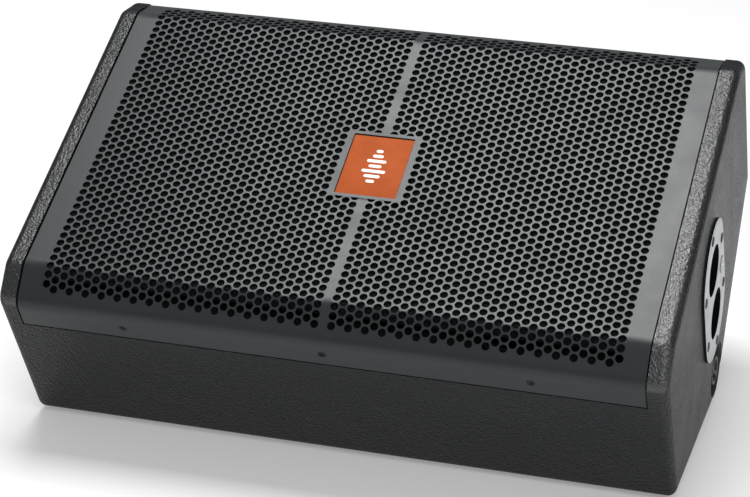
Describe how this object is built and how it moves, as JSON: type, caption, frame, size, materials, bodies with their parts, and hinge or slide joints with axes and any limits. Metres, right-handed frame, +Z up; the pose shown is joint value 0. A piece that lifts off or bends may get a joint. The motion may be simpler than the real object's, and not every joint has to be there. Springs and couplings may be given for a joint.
{
  "type": "stage monitor wedge",
  "caption": "Passive stage monitor wedge: sloping folded steel grille between plywood cheeks, woofer and horn inside, side pole sockets, recessed input and rear handle.",
  "frame": {"origin": "centre of the footprint, on the floor under the rubber feet", "axes": "+X across the cabinet to the side with the pole sockets, +Y to the back, +Z up; the grille face slopes up towards the back and looks to -Y and up"},
  "size_m": [0.6028, 0.4067, 0.319],
  "materials": {
    "cabinet_paint": "black textured paint over plywood, orange-peel grain",
    "baffle_paint": "flat black paint over plywood",
    "raw_plywood": "bare birch plywood",
    "grille_coat": "satin grey powder coat on perforated steel",
    "foam": "open-cell black foam",
    "black_screws": "black oxide steel",
    "badge_enamel": "orange enamelled badge with a plain white ring emblem",
    "gasket_rubber": "black closed-cell gasket",
    "basket_coat": "black stoved paint on cast alloy",
    "surround_cloth": "doped black cloth",
    "cone_paper": "coated paper pulp",
    "former_film": "amber film former",
    "copper_wire": "enamelled copper wire",
    "spider_cloth": "resin-treated woven cloth",
    "plated_steel": "zinc plated steel",
    "ferrite": "sintered ferrite",
    "terminal_plastic": "moulded terminal block",
    "horn_plastic": "moulded black plastic",
    "bare_alloy": "machined and formed bare alloy",
    "board_laminate": "green board laminate",
    "capacitor_film": "yellow film capacitors",
    "resistor_ceramic": "white ceramic resistor bodies",
    "dish_plastic": "black moulded plastic",
    "connector_plastic": "black glass-filled plastic",
    "grip_rubber": "soft black grip",
    "cast_alloy": "die-cast alloy, light grey",
    "foot_rubber": "black rubber"
  },
  "bodies": {
    "cabinet": {"left_cheek": "cabinet_paint", "right_cheek": "cabinet_paint", "front_panel": "cabinet_paint", "back_panel": "cabinet_paint", "base_panel": "cabinet_paint", "rear_base_panel": "cabinet_paint", "baffle_board": "baffle_paint", "baffle_battens": "raw_plywood", "brace_struts": "raw_plywood", "grille": "grille_coat", "grille_foam": "foam", "grille_screws": "black_screws", "badge_tray": "grille_coat", "badge": "badge_enamel", "woofer_gasket": "gasket_rubber", "woofer_frame": "basket_coat", "woofer_surround": "surround_cloth", "woofer_spider": "spider_cloth", "woofer_top_plate": "plated_steel", "woofer_magnet": "ferrite", "woofer_back_plate": "plated_steel", "woofer_terminals": "terminal_plastic", "woofer_screws": "black_screws", "horn_gasket": "gasket_rubber", "horn": "horn_plastic", "horn_screws": "black_screws", "driver_front_plate": "plated_steel", "driver_magnet": "ferrite", "phase_plug": "bare_alloy", "hf_suspension": "spider_cloth", "driver_rear_cap": "basket_coat", "driver_bolts": "plated_steel", "bass_ports": "horn_plastic", "crossover_board": "board_laminate", "crossover_inductors": "copper_wire", "crossover_capacitors": "capacitor_film", "crossover_resistors": "resistor_ceramic", "board_standoffs": "plated_steel", "input_dish": "dish_plastic", "speaker_connector": "connector_plastic", "connector_screws": "plated_steel", "pole_plate_gasket": "gasket_rubber", "pole_socket_casting": "cast_alloy", "pole_plate_screws": "black_screws", "pole_lock_screw": "plated_steel", "rubber_feet": "foot_rubber", "foot_screws": "plated_steel", "handle_cup": "dish_plastic", "handle_bar": "grip_rubber", "handle_screws": "black_screws"},
    "woofer_moving": {"woofer_cone": "cone_paper", "woofer_dust_cap": "cone_paper", "coil_former": "former_film", "voice_coil": "copper_wire"},
    "hf_moving": {"hf_diaphragm": "bare_alloy", "hf_voice_coil": "copper_wire"}
  },
  "joints": [
    {"name": "cone_travel", "type": "slide", "parent": "cabinet", "child": "woofer_moving", "axis": [0, -0.454, 0.891], "range_m": [-0.007, 0.007], "stiffness_N_per_m": 4000, "deforming": ["woofer_surround", "woofer_spider"]},
    {"name": "diaphragm_travel", "type": "slide", "parent": "cabinet", "child": "hf_moving", "axis": [0, -0.454, 0.891], "range_m": [-0.0004, 0.0004], "stiffness_N_per_m": 6000, "deforming": ["hf_suspension"]}
  ]
}
